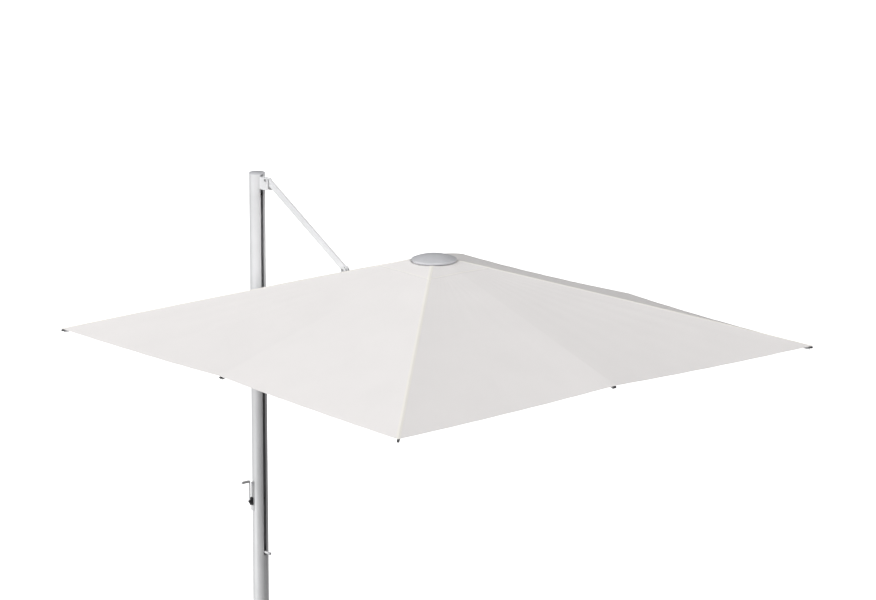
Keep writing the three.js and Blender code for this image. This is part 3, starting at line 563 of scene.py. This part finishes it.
class Kite:
    """The fabric round one rib. Its own plan frame runs along the rib (p) and to the rib's left (q)."""

    def __init__(self, name, turn, corner, body):
        self.name = name
        self.corner = corner
        self.body = body
        self.back = name == "back"
        angle = math.radians(turn)
        self.along = Vector((math.cos(angle), math.sin(angle), 0))
        self.left = Vector((-math.sin(angle), math.cos(angle), 0))
        self.centre = Vector((CENTRE_X, 0, 0))
        self.strip = BACK_STRIP if self.back else CORNER_STRIP if corner else MIDDLE_STRIP
        self.keep = CORNER_KEEP if corner else MIDDLE_KEEP
        self.seam = SEAM_HALF if corner else MIDDLE_SEAM_HALF

    def reach(self, far):
        """How far from the rib the kite goes at a row."""
        return SPLIT_SHARE * far / ROOT2 if self.corner else SPLIT_SHARE * far

    def plan(self, far, q):
        """(p, near) of a place on the row at this far distance."""
        if not self.corner:
            return far, abs(q)
        p = ROOT2 * far - abs(q)
        return p, (p - abs(q)) / ROOT2

    def point(self, far, q, lift):
        p, near = self.plan(far, q)
        across = min(near / far, 1.0)
        pull = HEM_DRAW * 4 * across * (1 - across) * (far / HALF) ** 2
        spot = (self.along * p + self.left * q) * (1 - pull)
        height = fabric_height(far, near) + waver(spot.x, spot.y, far, near) + lift
        return self.centre + spot + Vector((0, 0, height))


def row_distances(start, extra=()):
    """Rows from start out to the hem, with close pairs where a seam or a stitch line needs them."""
    steps = max(2, math.ceil((HALF - start) / ROW_STEP))
    rows = [start + (HALF - start) * i / steps for i in range(steps + 1)]
    fixed = [HALF - HEM_WIDTH - STITCH_HALF, HALF - HEM_WIDTH, HALF - HEM_WIDTH + STITCH_HALF, *extra]
    rows = [r for r in rows if all(abs(r - f) > 0.006 for f in fixed)]
    return sorted(rows + [f for f in fixed if f > start])


PATCH_ROWS = (
    PATCH_HALF - PATCH_BAND, PATCH_HALF - 0.0004, PATCH_HALF + 0.0004, PATCH_HALF + PATCH_SHADOW,
)


def patch_band(far):
    """Which cloth a row near the crown patch's seam is: 0 canopy, 1 binding, 2 the seam's shadow."""
    if PATCH_HALF - PATCH_BAND < far < PATCH_HALF:
        return 1
    if PATCH_HALF < far < PATCH_HALF + PATCH_SHADOW:
        return 2
    return 0


def stitch(far):
    """The hem's stitch line lies a little below the cloth round it."""
    return -STITCH_DEPTH if abs(far - (HALF - HEM_WIDTH)) < STITCH_HALF / 2 else 0.0


def sheet_piece(name, grid, plan, skip=None, banded=None):
    """A closed thin sheet over a grid of points: a top, a bottom and a rim. Its UVs are its plan."""
    rows, columns = len(grid), len(grid[0])
    top = [point for row in grid for point in row]
    bottom = [point - Vector((0, 0, CLOTH_THICKNESS)) for point in top]
    offset = len(top)
    faces, materials = [], []
    edge_use = {}
    for i in range(rows - 1):
        for j in range(columns - 1):
            if skip and skip(i, j):
                continue
            here, after = i * columns + j, (i + 1) * columns + j
            quad = [here, after, after + 1, here + 1]
            faces.append(quad)
            materials.append(int(banded(i, j)) if banded else 0)
            for a, b in zip(quad, quad[1:] + quad[:1]):
                edge_use[(a, b)] = True
    top_count = len(faces)
    faces += [[offset + k for k in reversed(quad)] for quad in faces[:top_count]]
    materials += materials[:top_count]
    rims = [(a, b) for a, b in edge_use if (b, a) not in edge_use]
    first_rim = len(faces)
    faces += [[b, a, offset + a, offset + b] for a, b in rims]
    materials += [0] * len(rims)
    mesh = mesh_of(name, top + bottom, faces, range(first_rim, len(faces)))
    mesh.polygons.foreach_set("material_index", materials)
    layer = mesh.uv_layers.new(name="UVMap")
    for loop in mesh.loops:
        i, j = divmod(loop.vertex_index % offset, columns)
        layer.data[loop.index].uv = plan[i][j]
    bm = bmesh.new()
    bm.from_mesh(mesh)
    loose = [v for v in bm.verts if not v.link_faces]
    bmesh.ops.delete(bm, geom=loose, context="VERTS")
    bmesh.ops.recalc_face_normals(bm, faces=bm.faces)
    bm.to_mesh(mesh)
    bm.free()
    mesh.set_sharp_from_angle(angle=math.radians(CLOTH_CRISP))
    obj = link(name, mesh)
    mesh.materials.append(MATERIALS["canopy_cloth"])
    mesh.materials.append(BINDING)
    mesh.materials.append(SEAM_SHADOW)
    return obj


def declare_sheet(obj, plan):
    """Works out the size that a piece of cloth was cut to, its plan's size and the sheet's own area, but does
    nothing with them.
    """
    across = [uv[1] for row in plan for uv in row]
    along = [uv[0] for row in plan for uv in row]
    width = max(across) - min(across)
    length = (max(along) - min(along)) * SLOPE_ALLOWANCE
    area = sum(p.area for p in obj.data.polygons) / 2
    area = min(area, width * length)


def grid_of(kite, rows, columns_of, lift_of):
    """Points and plan places for rows of the kite; columns_of gives the q values of a row."""
    grid, plan = [], []
    for far in rows:
        qs = columns_of(far)
        grid.append([kite.point(far, q, lift_of(far, q, k)) for k, q in enumerate(qs)])
        plan.append([(kite.plan(far, q)[0], q) for q in qs])
    return grid, plan


def strip_half(kite, far):
    """The strip's half width at a row, narrower near the crown where the kite itself is."""
    return min(kite.strip, kite.reach(far) - 0.0005)


def strip_columns(kite, half):
    """The q values across the strip that lies over the rib, out to its half width at a row."""
    if kite.back:
        marks = [0.0, SLIT_HALF / 2, SLIT_HALF, SLIT_HALF + SLIT_HEM, half]
    else:
        marks = [0.0, kite.seam - 0.0005, kite.seam + 0.0005, (kite.seam + half) / 2, half]
    return sorted({-m for m in marks} | set(marks))


def make_strip(kite):
    """The fabric over the rib, from the collar to the hem. On the mast side it has the strut's slit."""
    extra = [*PATCH_ROWS]
    if kite.back:
        extra += [SLIT_START - SLIT_HEM, SLIT_START]
    rows = row_distances(COLLAR_OUTER, extra)
    columns = strip_columns(kite, kite.strip)

    def lift(far, q, _):
        return stitch(far) + (SEAM_RISE if kite.corner and abs(q) < kite.seam else 0.0)

    def in_slit(i, j):
        middle = (columns[j] + columns[j + 1]) / 2
        return kite.back and rows[i] > SLIT_START - 1e-6 and abs(middle) < SLIT_HALF

    def banded(i, j):
        far = (rows[i] + rows[i + 1]) / 2
        q = abs((columns[j] + columns[j + 1]) / 2)
        round_slit = kite.back and far > SLIT_START - SLIT_HEM and q < SLIT_HALF + SLIT_HEM
        on_ridge = kite.corner and q < kite.seam
        return 1 if round_slit or on_ridge else patch_band(far)

    grid, plan = grid_of(kite, rows, lambda far: strip_columns(kite, strip_half(kite, far)), lift)
    piece = sheet_piece(f"cloth_{kite.name}", grid, plan, in_slit, banded)
    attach(piece, kite.body)
    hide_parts(f"canopy_{kite.name}")
    declare_sheet(piece, plan)
    return piece


def make_wing(kite, side, label):
    """The fabric beside the strip."""
    rows = row_distances(COLLAR_OUTER, PATCH_ROWS)
    sign = 1 if not kite.corner else -1

    def columns_of(far):
        start = strip_half(kite, far)
        width = kite.reach(far) - start
        return [side * (start + width * k / WING_COLUMNS) for k in range(WING_COLUMNS + 1)]

    def lift(far, q, k):
        return stitch(far) + ripple(k / WING_COLUMNS, far, sign)

    def banded(i, j):
        return patch_band((rows[i] + rows[i + 1]) / 2)

    grid, plan = grid_of(kite, rows, columns_of, lift)
    piece = sheet_piece(f"cloth_{kite.name}_{label}", grid, plan, None, banded)
    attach(piece, kite.body)
    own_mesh(piece)
    declare_sheet(piece, plan)
    return piece


def make_collar(kite):
    """The fabric over the rib's pivot, from the crown to the strip."""
    steps = 16
    rows = [COLLAR_INNER + (COLLAR_OUTER - COLLAR_INNER) * i / steps for i in range(steps + 1)]
    outer = 9

    def columns_of(far):
        beyond = [kite.seam + (kite.reach(far) - kite.seam) * k / outer for k in range(outer + 1)]
        return [-q for q in reversed(beyond)] + [0.0] + beyond

    def banded(i, j):
        return kite.corner and j in (outer, outer + 1)

    grid, plan = grid_of(kite, rows, columns_of, lambda far, q, k: 0.0)
    piece = sheet_piece(f"cloth_{kite.name}_collar", grid, plan, None, banded)
    start = kite.centre + kite.along * COLLAR_BEND_START
    end = kite.centre + kite.along * COLLAR_BEND_END
    start.z = end.z = RIB_PIVOT_Z
    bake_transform(piece)
    declare_sheet(piece, plan)
    return piece


def make_crown():
    """The round piece of cloth under the disc."""
    rings, sides = 8, 64
    radius = CROWN[1].x - CENTRE_X
    top = CROWN[1].z
    grid, plan = [], []
    for i in range(rings + 1):
        r = radius * (0.04 + 0.96 * i / rings)
        angles = [2 * math.pi * k / sides for k in range(sides + 1)]
        grid.append([Vector((CENTRE_X + r * math.cos(a), r * math.sin(a), top)) for a in angles])
        plan.append([(r * math.cos(a), r * math.sin(a)) for a in angles])
    piece = sheet_piece("cloth_crown", grid, plan)
    bm = bmesh.new()
    bm.from_mesh(piece.data)
    bmesh.ops.remove_doubles(bm, verts=bm.verts, dist=1e-6)
    bmesh.ops.recalc_face_normals(bm, faces=bm.faces)
    bm.to_mesh(piece.data)
    bm.free()
    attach(piece, "hub")
    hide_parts("canopy_crown")


def make_canopy():
    """A collar, a strip and two wings for each rib, and the crown."""
    for name, turn, corner, body in RIBS:
        kite = Kite(name, turn, corner, body)
        make_collar(kite)
        make_strip(kite)
        for side, label in ((1, "wing_l"), (-1, "wing_r")):
            make_wing(kite, side, label)
    make_crown()


# ---------- small parts ----------

def turned_part(name, profile, centre, axis, body, slot, cad_node):
    """A smooth turned piece that stands for a plainer CAD node."""
    piece = lathe(name, profile, centre, axis)
    put(piece, body, MATERIALS[slot])
    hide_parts(cad_node)
    return piece


def round_edge(corner_radius, corner_height, size, start):
    """Points of a quarter circle inside a profile's corner. start is the angle of the first, in degrees."""
    points = []
    for k in range(ROUND_EDGE_STEPS + 1):
        angle = math.radians(start + 90 * k / ROUND_EDGE_STEPS)
        points.append((corner_radius + size * math.cos(angle), corner_height + size * math.sin(angle)))
    return points


def make_disc():
    """The crown disc: a shallow dome on a thick rounded edge that is drawn in at the bottom."""
    low, high = DISC
    radius = high.x - CENTRE_X
    seat, top = low.z, high.z
    bulge = DISC_EDGE_BULGE
    middle = seat + DISC_EDGE_MIDDLE
    profile = [(0, seat), (radius - DISC_DRAWN_IN, seat)]
    for k in range(DISC_EDGE_STEPS + 1):
        angle = math.radians(-90 + DISC_EDGE_TURN * k / DISC_EDGE_STEPS)
        height = middle + DISC_EDGE_TALL * math.sin(angle)
        profile.append((radius - bulge + bulge * math.cos(angle), height))
    edge_radius, edge_top = profile[-1]
    for k in range(1, DISC_DOME_STEPS + 1):
        share = 1 - k / DISC_DOME_STEPS
        profile.append((edge_radius * share, edge_top + (top - edge_top) * (1 - share * share)))
    turned_part("crown_disc", profile, (CENTRE_X, 0, 0), "Z", "hub", "grey_cap", "hub_disc")


def make_mast_cap():
    """The flat cap of the mast, with a rounded rim and a plug inside the tube."""
    low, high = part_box("mast_cap")
    radius = high.x
    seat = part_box("mast")[1].z + 0.0003
    plug = radius - 0.0036
    edge = 0.0018
    profile = [
        (0, low.z), (plug, low.z), (plug, seat), (radius, seat),
        *round_edge(radius - edge, high.z - edge, edge, 0),
        (radius - 0.006, high.z), (radius - 0.0066, high.z - 0.0005), (radius - 0.0072, high.z),
        (0, high.z),
    ]
    turned_part("mast_top_cap", profile, (0, 0, 0), "Z", "mast", "grey_cap", "mast_cap")


def oblong_ring(centre, half_width, half_height, y):
    """A ring of points round an upright oblong with round ends, square to Y."""
    shift = half_height - half_width
    ring = []
    for k in range(TURNED_SIDES):
        angle = 2 * math.pi * (k + 0.5) / TURNED_SIDES
        z = half_width * math.sin(angle) + math.copysign(shift, math.sin(angle))
        ring.append(Vector((centre[0] + half_width * math.cos(angle), y, centre[1] + z)))
    return ring


def loft(name, rings):
    """A closed ring-shaped solid through rings of equally many points, the last joined to the first."""
    sides = len(rings[0])
    points = [point for ring in rings for point in ring]
    faces = []
    for i in range(len(rings)):
        here, after = i * sides, (i + 1) % len(rings) * sides
        for k in range(sides):
            j = (k + 1) % sides
            faces.append([here + k, here + j, after + j, after + k])
    mesh = mesh_of(name, points, faces)
    tidy_normals(mesh)
    return link(name, mesh)


def make_winch_housing():
    """The dark gear housing of the crank: an upright oblong box with a rounded front and two fine grooves."""
    low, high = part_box("winch_housing")
    centre = ((low.x + high.x) / 2, (low.z + high.z) / 2)
    half_width, half_height = (high.x - low.x) / 2, (high.z - low.z) / 2
    wall, nose = high.y, low.y
    bore = HOUSING_BORE
    steps = [(0.0, wall)]
    for distance in HOUSING_GROOVES:
        groove = wall - distance
        for inset, shift in (
            (0.0, 0.0004), (HOUSING_GROOVE_DEPTH, 0.0001), (HOUSING_GROOVE_DEPTH, -0.0001), (0.0, -0.0004),
        ):
            steps.append((inset, groove + shift))
    for k in range(ROUND_EDGE_STEPS + 1):
        angle = math.pi / 2 * k / ROUND_EDGE_STEPS
        inset = HOUSING_NOSE * (1 - math.cos(angle))
        steps.append((inset, nose + HOUSING_NOSE * (1 - math.sin(angle))))
    rings = [oblong_ring(centre, bore, bore, wall)]
    rings += [oblong_ring(centre, half_width - inset, half_height - inset, y) for inset, y in steps]
    rings.append(oblong_ring(centre, bore, bore, nose))
    housing = loft("winch_gear_housing", rings)
    put(housing, "mast", MATERIALS["dark_plastic"])
    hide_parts("winch_housing")


def make_grip():
    """The crank's grip: a slim barrel with rings near its ends."""
    low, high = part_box("crank_grip")
    centre = ((low.x + high.x) / 2, 0, (low.z + high.z) / 2)
    full = (high.x - low.x) / 2
    length = high.y - low.y
    bore = GRIP_BORE
    profile = [(bore, low.y)]
    for k in range(GRIP_STEPS + 1):
        share = k / GRIP_STEPS
        ends = min(share, 1 - share)
        round_off = 1 - 0.22 * max(0.0, 1 - ends / 0.08) ** 2
        waist = 1 - 0.09 * math.sin(math.pi * share) ** 2
        ring = 1 - 0.03 * (1 if k % 4 == 0 and 0.15 < share < 0.85 else 0)
        profile.append((full * round_off * waist * ring, low.y + length * share))
    profile += [(bore, high.y), (bore, low.y)]
    turned_part("crank_handle", profile, centre, "Y", "grip", "light_plastic", "crank_grip")


def make_lock_pin():
    """The pull pin under the crank: a light shaft and a rounded grey end."""
    low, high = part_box("lock_pin")
    centre = (0, 0, (low.z + high.z) / 2)
    head = (high.z - low.z) / 2
    shaft = head - 0.0007
    tip = high.x
    neck = tip - LOCK_HEAD_LENGTH
    edge, dome = LOCK_SHAFT_EDGE, LOCK_HEAD_EDGE
    shaft_profile = [
        (0, low.x), *round_edge(shaft - edge, low.x + edge, edge, -90), (shaft, neck), (0, neck),
    ]
    turned_part("lock_pull_pin", shaft_profile, centre, "X", "lock", "light_plastic", "lock_pin")
    head_profile = [
        (0, neck), *round_edge(head - edge, neck + edge, edge, -90),
        *round_edge(head - dome, tip - dome, dome, 0), (0, tip),
    ]
    end = lathe("lock_pin_end", head_profile, centre, "X")
    put(end, "lock", MATERIALS["grey_cap"])


def rounded_bar(name, length, width, height, edge):
    """A bar along X about the origin with rounded edges."""
    mesh = bpy.data.meshes.new(name)
    bm = bmesh.new()
    bmesh.ops.create_cube(bm, size=1)
    for vert in bm.verts:
        vert.co = Vector((vert.co.x * length, vert.co.y * width, vert.co.z * height))
    bmesh.ops.bevel(bm, geom=bm.edges[:], offset=edge, segments=4, profile=0.5, affect="EDGES")
    bm.to_mesh(mesh)
    bm.free()
    mesh.polygons.foreach_set("use_smooth", [True] * len(mesh.polygons))
    return link(name, mesh)


def make_rib_caps():
    """The dark end caps of the ribs, which hold the cloth's corners and the middles of its sides."""
    for name, turn, corner, body in RIBS:
        reach = HALF * ROOT2 if corner else HALF
        fall = (APEX_Z - (CORNER_TIP_Z if corner else MIDDLE_TIP_Z)) / reach
        slope = math.atan(fall)
        angle = math.radians(turn)
        offsets = (-BACK_RIB_OFFSET, BACK_RIB_OFFSET) if name == "back" else (0.0,)
        for k, offset in enumerate(offsets):
            label = f"rib_cap_{name}" + (f"_{k + 1}" if len(offsets) > 1 else "")
            cap = rounded_bar(label, CAP_LENGTH, CAP_WIDTH, CAP_HEIGHT, CAP_EDGE)
            p = reach + CAP_PAST_TIP - CAP_LENGTH / 2
            z = APEX_Z - fall * p - CAP_BELOW
            if name == "back":
                z -= CORNER_FALL * abs(offset)
            place = Matrix.Translation((CENTRE_X, 0, 0)) @ Matrix.Rotation(angle, 4, "Z")
            place = place @ Matrix.Translation((p, offset, z)) @ Matrix.Rotation(slope, 4, "Y")
            cap.data.transform(place)
            put(cap, body, MATERIALS["cap_plastic"])


def make_crank_hub():
    """A dark cap over the end of the winch shaft, on the outside of the crank's arm."""
    housing_low, housing_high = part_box("winch_housing")
    shaft_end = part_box("winch_drum")[0].y
    centre = ((housing_low.x + housing_high.x) / 2, 0, (housing_low.z + housing_high.z) / 2)
    radius, edge = CRANK_CAP_RADIUS, CRANK_CAP_EDGE
    outer = shaft_end - 0.0008
    inner = outer + CRANK_CAP_DEPTH
    edge_points = round_edge(radius - edge, outer + edge, edge, -90)
    profile = [(0, outer), *edge_points, (radius, inner), (0, inner)]
    cap = lathe("crank_hub_cap", profile, centre, "Y")
    put(cap, "crank", MATERIALS["dark_plastic"])


def make_small_parts():
    """Every piece besides the cloth."""
    make_disc()
    make_mast_cap()
    make_winch_housing()
    make_crank_hub()
    make_grip()
    make_lock_pin()
    make_rib_caps()


# ---------- stage, light and camera ----------

def make_floor():
    """A white floor that is brightened so that it meets the backdrop without an edge."""
    mesh = bpy.data.meshes.new("floor")
    bm = bmesh.new()
    bmesh.ops.create_circle(bm, cap_ends=True, segments=96, radius=FLOOR_RADIUS)
    bm.to_mesh(mesh)
    bm.free()
    floor = link("floor", mesh)
    floor.location = (CENTRE_X, 0, -0.001)
    material, tree, shader = blank_material("floor")
    cloudy = noise_at(tree, object_coordinates(tree, (1, 1, 1)), 0.8, 3.0, 0.5)
    tint = ramp(tree, cloudy, [(0.3, 0.88), (0.7, 0.92)])
    tree.links.new(tint, shader.inputs["Base Color"])
    shader.inputs["Roughness"].default_value = 0.9
    shader.inputs["Emission Color"].default_value = (1, 1, 1, 1)
    shader.inputs["Emission Strength"].default_value = 0.8
    mesh.materials.append(material)
    floor.visible_diffuse = False
    floor.visible_glossy = False


def make_backdrop():
    """A white studio dome that only the camera sees."""
    mesh = bpy.data.meshes.new("backdrop")
    bm = bmesh.new()
    bmesh.ops.create_uvsphere(bm, u_segments=48, v_segments=24, radius=BACKDROP_RADIUS)
    bm.to_mesh(mesh)
    bm.free()
    backdrop = link("backdrop", mesh)
    backdrop.location = (CENTRE_X, 0, 0)
    material, tree, shader = blank_material("backdrop")
    shader.inputs["Base Color"].default_value = (0, 0, 0, 1)
    shader.inputs["Emission Color"].default_value = (1, 1, 1, 1)
    shader.inputs["Emission Strength"].default_value = 1.0
    mesh.materials.append(material)
    backdrop.visible_diffuse = False
    backdrop.visible_glossy = False
    backdrop.visible_shadow = False
    backdrop.visible_transmission = False


def soft_sun(name, azimuth, elevation, strength, softness):
    """A wide soft light from a direction, in degrees, that reaches everything alike."""
    light = bpy.data.lights.new(name, "SUN")
    light.energy = strength
    light.angle = math.radians(softness)
    obj = bpy.data.objects.new(name, light)
    bpy.context.scene.collection.objects.link(obj)
    a, e = math.radians(azimuth), math.radians(elevation)
    towards = Vector((math.cos(e) * math.cos(a), math.cos(e) * math.sin(a), math.sin(e)))
    obj.location = Vector((CENTRE_X, 0, 2)) + towards * 10
    obj.rotation_euler = towards.to_track_quat("Z", "Y").to_euler()


def low_fill():
    """A small soft light near the ground, as a white floor would throw on the foot of the mast."""
    light = bpy.data.lights.new("low_fill", "AREA")
    light.energy = LOW_FILL_POWER
    light.size = LOW_FILL_SIZE
    obj = bpy.data.objects.new("low_fill", light)
    bpy.context.scene.collection.objects.link(obj)
    obj.location = LOW_FILL_PLACE
    towards = Vector(LOW_FILL_TARGET) - obj.location
    obj.rotation_euler = towards.to_track_quat("-Z", "Y").to_euler()
    obj.visible_camera = False


def make_light():
    """An even white world, two soft suns and the low fill."""
    world = bpy.data.worlds.new("studio")
    bpy.context.scene.world = world
    world.use_nodes = True
    background = world.node_tree.nodes["Background"]
    background.inputs["Color"].default_value = (1, 1, 1, 1)
    background.inputs["Strength"].default_value = WORLD_STRENGTH
    soft_sun("front_light", *FRONT_LIGHT)
    soft_sun("side_light", *SIDE_LIGHT)
    low_fill()


def make_camera():
    """The camera, from its heading, its pitch below level and its roll, in radians."""
    data = bpy.data.cameras.new("camera")
    data.lens = CAMERA_LENS
    data.sensor_width = SENSOR_WIDTH
    data.clip_end = CAMERA_FAR_CLIP
    camera = bpy.data.objects.new("camera", data)
    bpy.context.scene.collection.objects.link(camera)
    level = math.cos(CAMERA_PITCH)
    forward = Vector((level * math.cos(CAMERA_YAW), level * math.sin(CAMERA_YAW), -math.sin(CAMERA_PITCH)))
    right = Vector((math.sin(CAMERA_YAW), -math.cos(CAMERA_YAW), 0))
    up = right.cross(forward)
    c, s = math.cos(CAMERA_ROLL), math.sin(CAMERA_ROLL)
    right, up = right * c + up * s, up * c - right * s
    turn = Matrix((right, up, -forward)).transposed()
    camera.matrix_world = Matrix.Translation(Vector(CAMERA_PLACE)) @ turn.to_4x4()
    bpy.context.scene.camera = camera


bpy.context.scene.view_settings.view_transform = "Standard"
make_camera()
make_floor()
make_backdrop()
make_light()
dress_cad_nodes()
make_canopy()
make_small_parts()
